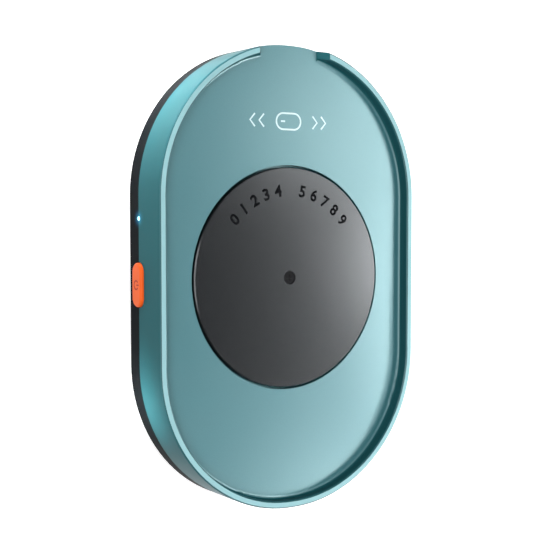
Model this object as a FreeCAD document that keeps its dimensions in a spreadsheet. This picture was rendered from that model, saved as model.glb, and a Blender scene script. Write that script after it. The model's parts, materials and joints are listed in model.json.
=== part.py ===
"""Mouse jiggler: a shallow tray whose powered disc turns slowly under a mouse.

Millimetres. +Z is up, the tray faces up, and +Y points to the gap in the rim where the mouse's cord
leaves. The origin is on the desk, in the middle between the four feet, on the axis of the disc.
"""
import FreeCAD, Part
import math
import os
import re
import Sketcher

Vector = FreeCAD.Vector
UP = Vector(0, 0, 1)
PRESSURE_ANGLE = math.radians(20)

# Driving dimensions, in millimetres unless the meaning says otherwise.
SIZES = [
    ("case_length", 130.0, "casing along Y"),
    ("case_width", 86.0, "casing along X"),
    ("end_flat", 1.6, "straight stretch across each end, between its corner arcs"),
    ("case_height", 17.5, "casing from its underside to the top of the rim"),
    ("base_height", 5.6, "side of the base cover, up to the parting line"),
    ("foot_proud", 1.0, "feet below the casing"),
    ("wall", 2.0, "side walls of both casings"),
    ("base_floor", 1.5, "floor of the base cover"),
    ("base_chamfer", 0.6, "bevel round the underside"),
    ("lip_height", 1.2, "locating lip above the parting line"),
    ("lip_width", 0.9, "locating lip, across"),
    ("lip_clearance", 0.1, "round the lip, in the rebate of the shell"),
    ("tray_floor", 2.0, "thickness of the tray floor"),
    ("rim_width", 2.0, "rim, seen from above"),
    ("rim_bevel", 0.35, "bevel of the rim's edges"),
    ("tray_fillet", 1.0, "round between tray floor and rim"),
    ("gap_foot", 19.0, "gap in the rim, at the tray floor"),
    ("gap_mouth", 23.8, "gap in the rim, at the top of the rim"),
    # turntable
    ("disc_diameter", 62.2, "turntable disc"),
    ("disc_thickness", 2.5, "turntable disc"),
    ("disc_proud", 0.5, "disc above the tray floor"),
    ("disc_clearance", 0.6, "between the disc and the side of its well"),
    ("disc_bevel", 0.3, "bevel of the disc's top edge"),
    ("well_gap", 0.4, "between the disc and the floor of its well"),
    ("well_floor", 1.3, "thickness of the well's floor"),
    ("well_wall", 1.6, "wall round the well, under the tray floor"),
    ("disc_recess", 4.0, "diameter of the recess for the disc's screw"),
    ("recess_depth", 0.9, "recess for the disc's screw"),
    ("disc_screw_head", 3.6, "diameter"),
    ("disc_head_height", 0.7, "head of the disc's screw"),
    ("disc_screw_shank", 1.4, "diameter"),
    ("disc_screw_length", 5.0, "under the head"),
    # spindle and its bearings
    ("spindle_diameter", 3.0, "spindle in its bush"),
    ("spindle_tip", 2.6, "diameter of the tip that drives the disc"),
    ("tip_flat", 1.0, "flat of the tip, from the axis"),
    ("tip_end", 0.1, "tip under the head of the disc's screw"),
    ("tap_depth", 0.5, "tapped hole past the end of the disc's screw"),
    ("pivot_diameter", 2.0, "lower journal of the spindle"),
    ("pivot_depth", 0.8, "pivot hole in the base"),
    ("pivot_end", 0.1, "journal above the bottom of the pivot hole"),
    ("running_fit", 0.03, "radial clearance of a shaft in its bearing"),
    ("end_play", 0.05, "axial play over the thrust washer"),
    ("washer_clearance", 0.2, "round the spindle in the thrust washer"),
    ("bush_diameter", 4.0, "outside of the bush"),
    ("bush_length", 2.9, "bush, with its flange"),
    ("bush_flange", 7.0, "diameter of the flange"),
    ("flange_thickness", 0.6, "flange of the bush"),
    ("bush_wall", 1.5, "boss of the shell round the bush"),
    # gear train
    ("gear_module", 0.5, "all gears"),
    ("spindle_teeth", 60, "teeth, no unit"),
    ("pinion_teeth", 12, "teeth, no unit"),
    ("wheel_teeth", 30, "teeth, no unit"),
    ("profile_shift", 0.3, "of the pinion in modules, taken off the spindle gear"),
    ("backlash", 0.08, "taken off the thickness of every tooth"),
    ("tip_clearance", 0.125, "between tip and root in every mesh"),
    ("spindle_gear_width", 2.0, "face width"),
    ("spindle_hub", 8.0, "diameter of the gear's hub"),
    ("hub_height", 1.0, "hub above the gear"),
    ("gear_rim", 1.5, "rim of the spindle gear, inside its teeth"),
    ("web_depth", 0.7, "recess in the face of the spindle gear"),
    ("gear_lift", 0.4, "spindle gear above the floor of the base"),
    ("pinion_lift", 0.3, "pinion above the floor of the base"),
    ("wheel_width", 2.8, "face width of the worm wheel"),
    ("worm_diameter", 4.5, "pitch diameter of the worm"),
    ("worm_length", 7.0, "worm"),
    ("worm_turns", 3.5, "turns of thread, no unit"),
    ("thread_sink", 0.1, "foot of the thread inside its core"),
    ("gear_pin", 1.5, "diameter of the pin of the compound gear"),
    ("pin_depth", 0.8, "pin into the floor of the base"),
    ("pin_seat", 3.5, "diameter of the seat round the pin"),
    ("pinion_play", 0.1, "between that seat and the pinion"),
    ("bridge_gap", 0.3, "between worm wheel and bridge"),
    ("bridge_thickness", 1.2, "bridge that holds the pin"),
    ("bridge_span", 22.0, "between the bridge's two screws"),
    ("post_diameter", 5.0, "posts of the bridge"),
    # motor
    ("motor_width", 10.0, "diameter of the round sides of the can"),
    ("motor_height", 8.0, "between the flats of the can"),
    ("motor_length", 15.0, "can"),
    ("motor_front", 7.0, "from the axis of the compound gear to the front of the can"),
    ("motor_boss", 3.0, "diameter of the can's front bearing boss"),
    ("boss_length", 0.8, "front bearing boss"),
    ("cap_length", 1.5, "end cap of the motor"),
    ("cap_step", 0.3, "end cap inside the outline of the can"),
    ("cap_hub", 2.4, "diameter of the end cap's hub"),
    ("cap_hub_length", 0.5, "hub of the end cap"),
    ("shaft_diameter", 1.0, "motor shaft"),
    ("shaft_inside", 8.0, "shaft inside the can"),
    ("shaft_end", 0.2, "between the shaft and the bottom of the can's bore"),
    ("strap_thickness", 0.5, "motor clamp"),
    ("strap_width", 4.0, "motor clamp"),
    ("strap_reach", 7.8, "from the motor's axis to the clamp's screws"),
    ("strap_place", 10.5, "from the front of the can to the clamp's screws"),
    ("lid_gap", 0.4, "between the motor clamp and the floor of the well"),
    ("rib", 1.0, "ribs beside and before the motor"),
    ("rib_height", 2.5, "ribs beside and before the motor"),
    ("rib_gap", 0.1, "between the motor and its ribs"),
    ("side_rib", 12.0, "length of the ribs beside the motor"),
    ("front_rib", 8.0, "length of the rib before the motor"),
    ("wire_diameter", 1.0, "motor leads"),
    ("wire_bend", 3.0, "bend of the leads, on their centre line"),
    ("near_lead", 3.0, "straight stretch of the first lead, before its bend"),
    ("far_lead", 5.5, "straight stretch of the second lead, before its bend"),
    ("lead_landing", 2.5, "ends of the leads past the edge of the board"),
    ("terminal_spread", 4.4, "between the motor's two terminals"),
    ("terminal_length", 1.5, "terminal behind the end cap"),
    ("terminal_width", 1.6, "terminal"),
    ("terminal_sheet", 0.4, "thickness of a terminal"),
    # board and what is on it
    ("board_thickness", 1.0, "circuit board"),
    ("board_inset", 4.2, "edge of the board inside the casing's outline"),
    ("board_width", 18.0, "strip of board beside the turntable"),
    ("board_south", 14.0, "board beyond the disc's axis, towards -Y"),
    ("board_elbow", 30.0, "inner corner of the board, towards +Y"),
    ("board_east", 10.0, "board past the middle of the far end"),
    ("pillar_clearance", 0.5, "hole of the board round the screw pillar"),
    ("standoff", 5.0, "diameter of the board's standoffs"),
    ("board_screw_length", 2.2, "screws of the board, under the head"),
    ("board_margin", 4.0, "corner screws from the edges of the board"),
    ("far_screw", 20.0, "screw of the far arm past the board's inner corner"),
    ("elbow_screw", 4.8, "screw at the elbow from the edge of the board"),
    ("chip_width", 4.0, "chip, along X"),
    ("chip_length", 5.0, "chip, along Y"),
    ("chip_height", 1.4, "chip"),
    ("chip_place", 6.0, "middle of the chip along Y"),
    ("chip_lift", 0.1, "chip above the board"),
    ("leg_length", 1.0, "legs of the chip, along X"),
    ("leg_width", 0.4, "legs of the chip, along Y"),
    ("leg_height", 0.5, "legs of the chip"),
    ("leg_pitch", 1.27, "legs of the chip"),
    ("capacitor_length", 2.0, "ceramic capacitors"),
    ("capacitor_width", 1.2, "ceramic capacitors"),
    ("capacitor_height", 0.8, "ceramic capacitors"),
    ("capacitor_pitch", 3.0, "between neighbouring capacitors"),
    ("switch_inset", 0.4, "switch from the edge of the board"),
    ("switch_height", 3.4, "body of the switch"),
    ("switch_length", 6.0, "body of the switch, along Y"),
    ("switch_depth", 4.5, "body of the switch, along X"),
    ("plunger_width", 2.6, "plunger of the switch, along Y"),
    ("plunger_height", 1.4, "plunger of the switch"),
    ("plunger_proud", 0.9, "plunger out of the switch"),
    ("plunger_inside", 1.5, "plunger in the switch"),
    ("plunger_fit", 0.05, "round the plunger"),
    ("plunger_end", 0.2, "between the pressed plunger and the bottom of its bore"),
    ("press_travel", 0.5, "travel of the power button"),
    ("usb_width", 8.94, "shell of the inlet"),
    ("usb_height", 3.26, "shell of the inlet"),
    ("usb_length", 7.35, "shell of the inlet"),
    ("usb_sheet", 0.3, "metal of the shell"),
    ("usb_flat", 0.1, "straight stretch of the shell's short sides"),
    ("usb_back", 0.6, "back wall of the shell"),
    ("usb_recess", 0.4, "mouth of the inlet inside the end wall"),
    ("usb_clearance", 0.2, "round the inlet in the casing"),
    ("tongue_width", 6.7, "contact tongue"),
    ("tongue_height", 0.7, "contact tongue"),
    ("tongue_length", 4.4, "contact tongue"),
    # button and light
    ("button_length", 12.0, "power button, along Y"),
    ("button_height", 5.2, "power button"),
    ("button_proud", 0.9, "power button out of the wall"),
    ("button_round", 0.7, "edge of the power button"),
    ("button_clearance", 0.15, "round the button in the wall"),
    ("button_place", -1.0, "middle of the button along Y"),
    ("button_flange", 1.0, "flange past the button, all round"),
    ("flange_length", 0.8, "flange, along the button's travel"),
    ("flange_play", 0.1, "between the flange and the wall"),
    ("button_stem", 2.4, "diameter of the stem that meets the switch"),
    ("stem_gap", 0.05, "between stem and plunger"),
    ("light_diameter", 1.2, "end of the light pipe"),
    ("light_place", 16.8, "light pipe along Y"),
    ("light_fit", 0.05, "round the light pipe in the wall"),
    ("light_block", 3.0, "block at the foot of the light pipe, along Y"),
    ("light_depth", 1.3, "block, along X"),
    ("led_height", 1.5, "light-emitting diode"),
    ("led_depth", 1.0, "light-emitting diode, along X"),
    ("led_inset", 0.1, "light-emitting diode from the edge of the board"),
    # fixings
    ("screw_inset", 8.6, "case screws inside the outline, halfway round its corner arcs"),
    ("pillar", 6.0, "diameter of the pillars and bosses"),
    ("case_screw", 2.0, "diameter of the case screws"),
    ("case_head", 4.0, "diameter of their heads"),
    ("case_head_height", 1.4, "their heads"),
    ("case_screw_length", 6.5, "under the head"),
    ("boss_end", 0.5, "plastic left over the case screws' pilot holes"),
    ("head_seat", 3.0, "underside of the casing to the seat of a head"),
    ("head_clearance", 0.3, "round a head in its hole"),
    ("small_screw", 1.6, "diameter of the screws inside"),
    ("small_head", 3.0, "diameter of their heads"),
    ("small_head_height", 1.0, "their heads"),
    ("small_screw_length", 3.5, "under the head"),
    ("pilot_sink", 0.3, "their pilot holes into the floor of the base"),
    ("foot_side", 14.0, "feet from the side walls"),
    ("foot_end", 36.0, "feet from the end walls"),
    ("foot_diameter", 10.0, "rubber feet"),
    ("foot_recess", 0.6, "feet into the base"),
    ("foot_bevel", 0.3, "bevel of the feet"),
]

# Levels and places that follow from the driving dimensions.
PLACES = [
    ("case_under", "foot_proud"),
    ("base_inside", "case_under + base_floor"),
    ("parting", "case_under + base_height"),
    ("rim_top", "case_under + case_height"),
    ("corner_radius", "(case_width - end_flat) / 2"),
    ("motor_level", "base_inside + motor_height / 2"),
    ("strap_top", "base_inside + motor_height + strap_thickness"),
    ("well_under", "strap_top + lid_gap"),
    ("well_level", "well_under + well_floor"),
    ("disc_under", "well_level + well_gap"),
    ("disc_top", "disc_under + disc_thickness"),
    ("tray_level", "disc_top - disc_proud"),
    ("tray_depth", "rim_top - tray_level"),
    ("ceiling", "tray_level - tray_floor"),
    ("well_diameter", "disc_diameter + 2 * disc_clearance"),
    ("recess_level", "disc_top - recess_depth"),
    ("bush_under", "well_level - bush_length"),
    ("gear_under", "base_inside + gear_lift"),
    ("wheel_under", "motor_level - wheel_width / 2"),
    ("wheel_top", "motor_level + wheel_width / 2"),
    ("pinion_under", "base_inside + pinion_lift"),
    ("compound_y", "-gear_module * (spindle_teeth + pinion_teeth) / 2"),
    ("worm_y", "compound_y - gear_module * wheel_teeth / 2 - worm_diameter / 2"),
    ("bridge_under", "wheel_top + bridge_gap"),
    ("bridge_top", "bridge_under + bridge_thickness"),
    ("can_back", "-motor_front - motor_length"),
    ("cap_back", "can_back - cap_length"),
    ("strap_x", "-motor_front - strap_place"),
    ("board_top", "parting - switch_height / 2"),
    ("board_under", "board_top - board_thickness"),
    ("board_west", "-(case_width / 2 - board_inset)"),
    ("board_inner", "board_west + board_width"),
    ("board_middle", "board_west + board_width / 2"),
    ("wall_inside", "case_width / 2 - wall"),
    ("button_face", "-(case_width / 2 + button_proud)"),
    ("flange_face", "-(wall_inside - flange_play)"),
    ("switch_face", "board_west + switch_inset"),
    ("plunger_face", "switch_face - plunger_proud"),
    ("usb_mouth", "case_length / 2 - usb_recess"),
    ("usb_level", "board_top + usb_height / 2"),
    ("screw_reach", "(corner_radius - screw_inset) * sqrt(0.5)"),
    ("screw_x", "end_flat / 2 + screw_reach"),
    ("screw_y", "case_length / 2 - corner_radius + screw_reach"),
    ("foot_x", "case_width / 2 - foot_side"),
    ("foot_y", "case_length / 2 - foot_end"),
]

doc = FreeCAD.newDocument("MouseJiggler")


def fill_sheets():
    """One sheet of driving numbers, and one of the places worked out from them."""
    sizes = doc.addObject("Spreadsheet::Sheet", "Sizes")
    for row, (alias, number, meaning) in enumerate(SIZES, 1):
        sizes.set(f"A{row}", alias)
        sizes.set(f"B{row}", str(number))
        sizes.set(f"C{row}", meaning)
        sizes.setAlias(f"B{row}", alias)
    places = doc.addObject("Spreadsheet::Sheet", "Places")
    for row, (alias, formula) in enumerate(PLACES, 1):
        places.set(f"A{row}", alias)
        places.set(f"B{row}", "=" + bind(formula, inside_places=True))
        places.setAlias(f"B{row}", alias)
    doc.recompute()
    return sizes


def bind(formula, inside_places=False):
    """The formula with every alias written as its sheet's cell."""
    sizes = {row[0] for row in SIZES}
    places = {row[0] for row in PLACES}

    def cell(match):
        word = match.group()
        if word in sizes:
            return "Sizes." + word
        if word in places and not inside_places:
            return "Places." + word
        return word

    return re.sub(r"[a-z_]+", cell, str(formula))


def value(formula):
    """What a formula comes to, as a number."""
    return float(sheet.evalExpression(bind(formula)))


sheet = fill_sheets()


# Sketches ---------------------------------------------------------------------------------------

def new_body(name, x="0", y="0", z="0"):
    body = doc.addObject("PartDesign::Body", name)
    body.Label = name
    for axis, formula in zip("xyz", (x, y, z)):
        if formula != "0":
            body.setExpression(f"Placement.Base.{axis}", bind(formula))
    return body


def new_sketch(body, name, level="0", plane="XY_Plane"):
    """Empty sketch on one of the body's origin planes, moved along the plane's normal to level."""
    sketch = body.newObject("Sketcher::SketchObject", name)
    support = next(f for f in body.Origin.OriginFeatures if f.Role == plane)
    sketch.AttachmentSupport = [(support, "")]
    sketch.MapMode = "FlatFace"
    if level != "0":
        sketch.setExpression("AttachmentOffset.Base.z", bind(level))
    return sketch


def dimension(sketch, kind, *where):
    """Adds a dimension; the last of where is its formula."""
    formula = where[-1]
    index = sketch.addConstraint(Sketcher.Constraint(kind, *where[:-1], value(formula)))
    sketch.setExpression(f"Constraints[{index}]", bind(formula))


def place_point(sketch, geometry, point, x, y):
    dimension(sketch, "DistanceX", -1, 1, geometry, point, x)
    dimension(sketch, "DistanceY", -1, 1, geometry, point, y)


def circle(sketch, x, y, diameter):
    centre = Vector(value(x), value(y), 0)
    geometry = sketch.addGeometry(Part.Circle(centre, UP, value(diameter) / 2))
    dimension(sketch, "Diameter", geometry, diameter)
    place_point(sketch, geometry, 3, x, y)


def polygon(sketch, corners):
    """Closed outline of straight edges through corners, each an (x, y) pair of formulas."""
    points = [Vector(value(x), value(y), 0) for x, y in corners]
    count = len(points)
    lines = [
        sketch.addGeometry(Part.LineSegment(points[i], points[(i + 1) % count])) for i in range(count)
    ]
    for i in range(count):
        following = lines[(i + 1) % count]
        sketch.addConstraint(Sketcher.Constraint("Coincident", lines[i], 2, following, 1))
    for line, (x, y) in zip(lines, corners):
        place_point(sketch, line, 1, x, y)


def box(sketch, x, y, width, height):
    """Rectangle about the point x, y."""
    left, right = f"({x}) - ({width}) / 2", f"({x}) + ({width}) / 2"
    low, high = f"({y}) - ({height}) / 2", f"({y}) + ({height}) / 2"
    polygon(sketch, [(left, low), (right, low), (right, high), (left, high)])


def arc(centre_x, centre_y, radius, start, end):
    """Arc from start to end, in degrees."""
    whole = Part.Circle(Vector(centre_x, centre_y, 0), UP, radius)
    return Part.ArcOfCircle(whole, math.radians(start), math.radians(end))


def join_tangent(sketch, chain):
    for first, following in zip(chain, chain[1:] + chain[:1]):
        sketch.addConstraint(Sketcher.Constraint("Tangent", first, 2, following, 1))


def round_box(sketch, x, y, width, height, radius):
    """Rectangle about x, y whose corners are arcs."""
    w, h, r = value(width) / 2, value(height) / 2, value(radius)
    cx, cy = value(x), value(y)
    inner_w, inner_h = w - r, h - r
    corners = [(1, -1, 270), (1, 1, 0), (-1, 1, 90), (-1, -1, 180)]
    starts = [(-inner_w, -h), (w, -inner_h), (inner_w, h), (-w, inner_h)]
    ends = [(inner_w, -h), (w, inner_h), (-inner_w, h), (-w, -inner_h)]
    chain = []
    for (ax, ay), (bx, by), (sx, sy, start) in zip(starts, ends, corners):
        side = Part.LineSegment(Vector(cx + ax, cy + ay, 0), Vector(cx + bx, cy + by, 0))
        chain.append(sketch.addGeometry(side))
        chain.append(
            sketch.addGeometry(arc(cx + sx * inner_w, cy + sy * inner_h, r, start, start + 90))
        )
    join_tangent(sketch, chain)
    for position, side in enumerate(chain[::2]):
        kind = "Horizontal" if position % 2 == 0 else "Vertical"
        sketch.addConstraint(Sketcher.Constraint(kind, side))
    for corner in chain[3::2]:
        sketch.addConstraint(Sketcher.Constraint("Equal", chain[1], corner))
    dimension(sketch, "Radius", chain[1], radius)
    dimension(sketch, "DistanceX", -1, 1, chain[2], 1, f"({x}) + ({width}) / 2")
    dimension(sketch, "DistanceX", -1, 1, chain[6], 1, f"({x}) - ({width}) / 2")
    dimension(sketch, "DistanceY", -1, 1, chain[0], 1, f"({y}) - ({height}) / 2")
    dimension(sketch, "DistanceY", -1, 1, chain[4], 1, f"({y}) + ({height}) / 2")


def slot(sketch, x, y, length, width):
    """Straight slot about x, y, with its length along the sketch's first axis."""
    cx, cy, r = value(x), value(y), value(width) / 2
    reach = value(length) / 2 - r
    low = Part.LineSegment(Vector(cx - reach, cy - r, 0), Vector(cx + reach, cy - r, 0))
    high = Part.LineSegment(Vector(cx + reach, cy + r, 0), Vector(cx - reach, cy + r, 0))
    pieces = [low, arc(cx + reach, cy, r, 270, 450), high, arc(cx - reach, cy, r, 90, 270)]
    chain = [sketch.addGeometry(piece) for piece in pieces]
    join_tangent(sketch, chain)
    sketch.addConstraint(Sketcher.Constraint("Horizontal", chain[0]))
    dimension(sketch, "Radius", chain[1], f"({width}) / 2")
    place_point(sketch, chain[1], 3, f"({x}) + ({length}) / 2 - ({width}) / 2", y)
    dimension(sketch, "DistanceX", -1, 1, chain[3], 3, f"({x}) - ({length}) / 2 + ({width}) / 2")


def flat_round(sketch, x, y, diameter, height):
    """Circle about x, y with two flats, height apart, above and below."""
    cx, cy, r, h = value(x), value(y), value(diameter) / 2, value(height) / 2
    reach = math.sqrt(r * r - h * h)
    tilt = math.degrees(math.asin(h / r))
    low = Part.LineSegment(Vector(cx - reach, cy - h, 0), Vector(cx + reach, cy - h, 0))
    high = Part.LineSegment(Vector(cx + reach, cy + h, 0), Vector(cx - reach, cy + h, 0))
    pieces = [low, arc(cx, cy, r, -tilt, tilt), high, arc(cx, cy, r, 180 - tilt, 180 + tilt)]
    chain = [sketch.addGeometry(piece) for piece in pieces]
    for first, following in zip(chain, chain[1:] + chain[:1]):
        sketch.addConstraint(Sketcher.Constraint("Coincident", first, 2, following, 1))
    for flat in (chain[0], chain[2]):
        sketch.addConstraint(Sketcher.Constraint("Horizontal", flat))
    sketch.addConstraint(Sketcher.Constraint("Coincident", chain[1], 3, chain[3], 3))
    dimension(sketch, "Radius", chain[1], f"({diameter}) / 2")
    place_point(sketch, chain[1], 3, x, y)
    dimension(sketch, "DistanceY", -1, 1, chain[0], 1, f"({y}) - ({height}) / 2")
    dimension(sketch, "DistanceY", -1, 1, chain[2], 1, f"({y}) + ({height}) / 2")


def case_outline(sketch, inset):
    """Outline of the casing, inset all round."""
    width, height = f"case_width - 2 * ({inset})", f"case_length - 2 * ({inset})"
    round_box(sketch, "0", "0", width, height, f"corner_radius - ({inset})")


# Features ---------------------------------------------------------------------------------------

def extrude(body, kind, sketch, length, backwards=False):
    feature = body.newObject("PartDesign::" + kind, sketch.Name + kind)
    feature.Profile = sketch
    feature.setExpression("Length", bind(length))
    feature.Reversed = backwards
    sketch.Visibility = False
    doc.recompute()
    return feature


def pad(body, sketch, length, backwards=False):
    """Adds material along the sketch's normal, or against it."""
    return extrude(body, "Pad", sketch, length, backwards)


def pocket(body, sketch, length, backwards=False):
    """Takes material away against the sketch's normal, or along it, and makes sure that it did."""
    before = body.Shape.Volume
    feature = extrude(body, "Pocket", sketch, length, backwards)
    if feature.Shape.Volume >= before - 1e-6:
        raise ValueError(f"{feature.Name} cuts nothing")
    return feature


def turn(body, sketch, axis="V_Axis"):
    feature = body.newObject("PartDesign::Revolution", sketch.Name + "Turned")
    feature.Profile = sketch
    feature.ReferenceAxis = (sketch, [axis])
    feature.Angle = 360
    sketch.Visibility = False
    doc.recompute()
    return feature


def soften(body, kind, size, level, extra=None):
    """Rounds or bevels the edges that lie on a level, or those of them that extra accepts."""
    base = body.Tip
    height = value(level)
    names = []
    for number, edge in enumerate(base.Shape.Edges, 1):
        bounds = edge.BoundBox
        flat = abs(bounds.ZMin - height) < 1e-3 and abs(bounds.ZMax - height) < 1e-3
        if flat and (extra is None or extra(edge)):
            names.append(f"Edge{number}")
    feature = body.newObject("PartDesign::" + kind, f"{body.Name}{kind}")
    feature.Base = (base, names)
    feature.setExpression("Radius" if kind == "Fillet" else "Size", bind(size))
    doc.recompute()
    return feature


def ring_of(body, feature, count):
    """Copies the feature round the body's Z axis."""
    pattern = body.newObject("PartDesign::PolarPattern", feature.Name + "Ring")
    pattern.Originals = [feature]
    axis = next(f for f in body.Origin.OriginFeatures if f.Role == "Z_Axis")
    pattern.Axis = (axis, [""])
    pattern.Angle = 360
    pattern.setExpression("Occurrences", bind(count))
    body.Tip = pattern
    doc.recompute()
    return pattern


def four_corners(x, y):
    return [(f"{sx}{x}", f"{sy}{y}") for sx in ("", "-") for sy in ("", "-")]


# Casings ----------------------------------------------------------------------------------------

CASE_SCREWS = four_corners("screw_x", "screw_y")
FEET = four_corners("foot_x", "foot_y")
BRIDGE_POSTS = [("bridge_span / 2", "compound_y"), ("-bridge_span / 2", "compound_y")]
STRAP_POSTS = [("strap_x", "worm_y + strap_reach"), ("strap_x", "worm_y - strap_reach")]
BOARD_SCREWS = [
    ("board_inner - board_margin", "-board_south + board_margin"),
    ("board_east - board_margin", "board_elbow + far_screw"),
    ("board_west + elbow_screw", "board_elbow"),
]


def wall_openings(body, wall_depth):
    """Openings that straddle the parting line: the button's, the light pipe's and the inlet's."""
    west = new_sketch(body, body.Name + "SideHoles", "-case_width / 2 - 1", "YZ_Plane")
    slot(
        west, "button_place", "parting",
        "button_length + 2 * button_clearance", "button_height + 2 * button_clearance",
    )
    circle(west, "light_place", "parting", "light_diameter + 2 * light_fit")
    pocket(body, west, f"{wall_depth} + 1", backwards=True)
    north = new_sketch(body, body.Name + "InletHole", "-case_length / 2 - 1", "XZ_Plane")
    round_box(
        north, "0", "usb_level",
        "usb_width + 2 * usb_clearance", "usb_height + 2 * usb_clearance", "usb_height / 2",
    )
    pocket(body, north, f"{wall_depth} + 2", backwards=True)


def make_base_cover():
    body = new_body("base_cover")
    outline = new_sketch(body, "BaseOutline", "case_under")
    case_outline(outline, "0")
    pad(body, outline, "base_height")
    soften(body, "Chamfer", "base_chamfer", "case_under")
    inside = new_sketch(body, "BaseInside", "parting")
    case_outline(inside, "wall")
    pocket(body, inside, "base_height - base_floor")

    lip = new_sketch(body, "BaseLip", "parting")
    case_outline(lip, "wall - lip_width")
    case_outline(lip, "wall")
    pad(body, lip, "lip_height")

    pillars = new_sketch(body, "BasePillars", "base_inside")
    for x, y in CASE_SCREWS:
        circle(pillars, x, y, "pillar")
    pad(body, pillars, "parting - base_inside")

    posts = new_sketch(body, "BridgePosts", "base_inside")
    for x, y in BRIDGE_POSTS:
        circle(posts, x, y, "post_diameter")
    pad(body, posts, "bridge_under - base_inside")

    strap_posts = new_sketch(body, "StrapPosts", "base_inside")
    for x, y in STRAP_POSTS:
        circle(strap_posts, x, y, "strap_width")
    pad(body, strap_posts, "motor_level - base_inside")

    standoffs = new_sketch(body, "BoardStandoffs", "base_inside")
    for x, y in BOARD_SCREWS:
        circle(standoffs, x, y, "standoff")
    pad(body, standoffs, "board_under - base_inside")

    pin_seat = new_sketch(body, "PinSeat", "base_inside")
    circle(pin_seat, "0", "compound_y", "pin_seat")
    pad(body, pin_seat, "pinion_under - base_inside - pinion_play")

    ribs = new_sketch(body, "MotorRibs", "base_inside")
    for side in ("+", "-"):
        box(
            ribs, "-motor_front - motor_length / 2",
            f"worm_y {side} (motor_width / 2 + rib_gap + rib / 2)", "side_rib", "rib",
        )
    box(ribs, "-motor_front + rib_gap + rib / 2", "worm_y", "rib", "front_rib")
    pad(body, ribs, "rib_height")

    shelf = new_sketch(body, "LightShelf", "base_inside")
    box(shelf, "-(wall_inside - light_depth / 2)", "light_place", "light_depth", "light_block")
    pad(body, shelf, "board_top - base_inside")

    shafts = new_sketch(body, "ScrewShafts", "case_under")
    for x, y in CASE_SCREWS:
        circle(shafts, x, y, "case_screw + head_clearance")
    pocket(body, shafts, "case_height", backwards=True)
    heads = new_sketch(body, "ScrewHeads", "case_under")
    for x, y in CASE_SCREWS:
        circle(heads, x, y, "case_head + 2 * head_clearance")
    pocket(body, heads, "head_seat", backwards=True)

    feet = new_sketch(body, "FootSeats", "case_under")
    for x, y in FEET:
        circle(feet, x, y, "foot_diameter")
    pocket(body, feet, "foot_recess", backwards=True)

    pilots = new_sketch(body, "SmallPilots", "bridge_under")
    for x, y in BRIDGE_POSTS + STRAP_POSTS + BOARD_SCREWS:
        circle(pilots, x, y, "small_screw")
    pocket(body, pilots, "bridge_under - base_inside + pilot_sink")

    pin_hole = new_sketch(body, "PinHole", "pinion_under")
    circle(pin_hole, "0", "compound_y", "gear_pin")
    pocket(body, pin_hole, "pinion_under - base_inside + pin_depth")
    pivot_hole = new_sketch(body, "PivotHole", "base_inside")
    circle(pivot_hole, "0", "0", "pivot_diameter + 2 * running_fit")
    pocket(body, pivot_hole, "pivot_depth")

    wall_openings(body, "wall")
    return body


def make_top_shell():
    body = new_body("top_shell")
    outline = new_sketch(body, "ShellOutline", "parting")
    case_outline(outline, "0")
    pad(body, outline, "rim_top - parting")
    tray = new_sketch(body, "Tray", "rim_top")
    case_outline(tray, "rim_width")
    pocket(body, tray, "tray_depth")
    soften(body, "Fillet", "tray_fillet", "tray_level")
    soften(body, "Chamfer", "rim_bevel", "rim_top")

    inside = new_sketch(body, "ShellInside", "parting")
    case_outline(inside, "wall")
    pocket(body, inside, "ceiling - parting", backwards=True)
    rebate = new_sketch(body, "Rebate", "parting")
    case_outline(rebate, "wall - lip_width - lip_clearance")
    pocket(body, rebate, "lip_height + lip_clearance", backwards=True)

    cup = new_sketch(body, "WellCup", "well_under")
    circle(cup, "0", "0", "well_diameter + 2 * well_wall")
    pad(body, cup, "ceiling - well_under")
    well = new_sketch(body, "Well", "tray_level")
    circle(well, "0", "0", "well_diameter")
    pocket(body, well, "tray_level - well_level")

    boss = new_sketch(body, "BushBoss", "bush_under")
    circle(boss, "0", "0", "bush_diameter + 2 * bush_wall")
    pad(body, boss, "well_under - bush_under")
    bush_hole = new_sketch(body, "BushHole", "well_level")
    circle(bush_hole, "0", "0", "bush_diameter")
    pocket(body, bush_hole, "bush_length")
    flange_seat = new_sketch(body, "FlangeSeat", "well_level")
    circle(flange_seat, "0", "0", "bush_flange")
    pocket(body, flange_seat, "flange_thickness")

    bosses = new_sketch(body, "ScrewBosses", "parting")
    for x, y in CASE_SCREWS:
        circle(bosses, x, y, "pillar")
    pad(body, bosses, "ceiling - parting")
    pilots = new_sketch(body, "CasePilots", "parting")
    for x, y in CASE_SCREWS:
        circle(pilots, x, y, "case_screw")
    pocket(body, pilots, "ceiling - parting - boss_end", backwards=True)

    gap = new_sketch(body, "RimGap", "-case_length / 2 - 1", "XZ_Plane")
    slope = "(gap_mouth - gap_foot) / 2 / tray_depth"
    polygon(gap, [
        ("-gap_foot / 2", "tray_level"),
        ("gap_foot / 2", "tray_level"),
        (f"gap_foot / 2 + {slope} * (tray_depth + 1)", "rim_top + 1"),
        (f"-gap_foot / 2 - {slope} * (tray_depth + 1)", "rim_top + 1"),
    ])
    pocket(body, gap, "case_length / 2 - board_elbow", backwards=True)

    wall_openings(body, "wall")
    return body


def make_feet():
    body = new_body("rubber_feet")
    discs = new_sketch(body, "FootDiscs")
    for x, y in FEET:
        circle(discs, x, y, "foot_diameter")
    pad(body, discs, "foot_proud + foot_recess")
    soften(body, "Chamfer", "foot_bevel", "0")
    return body


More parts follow.
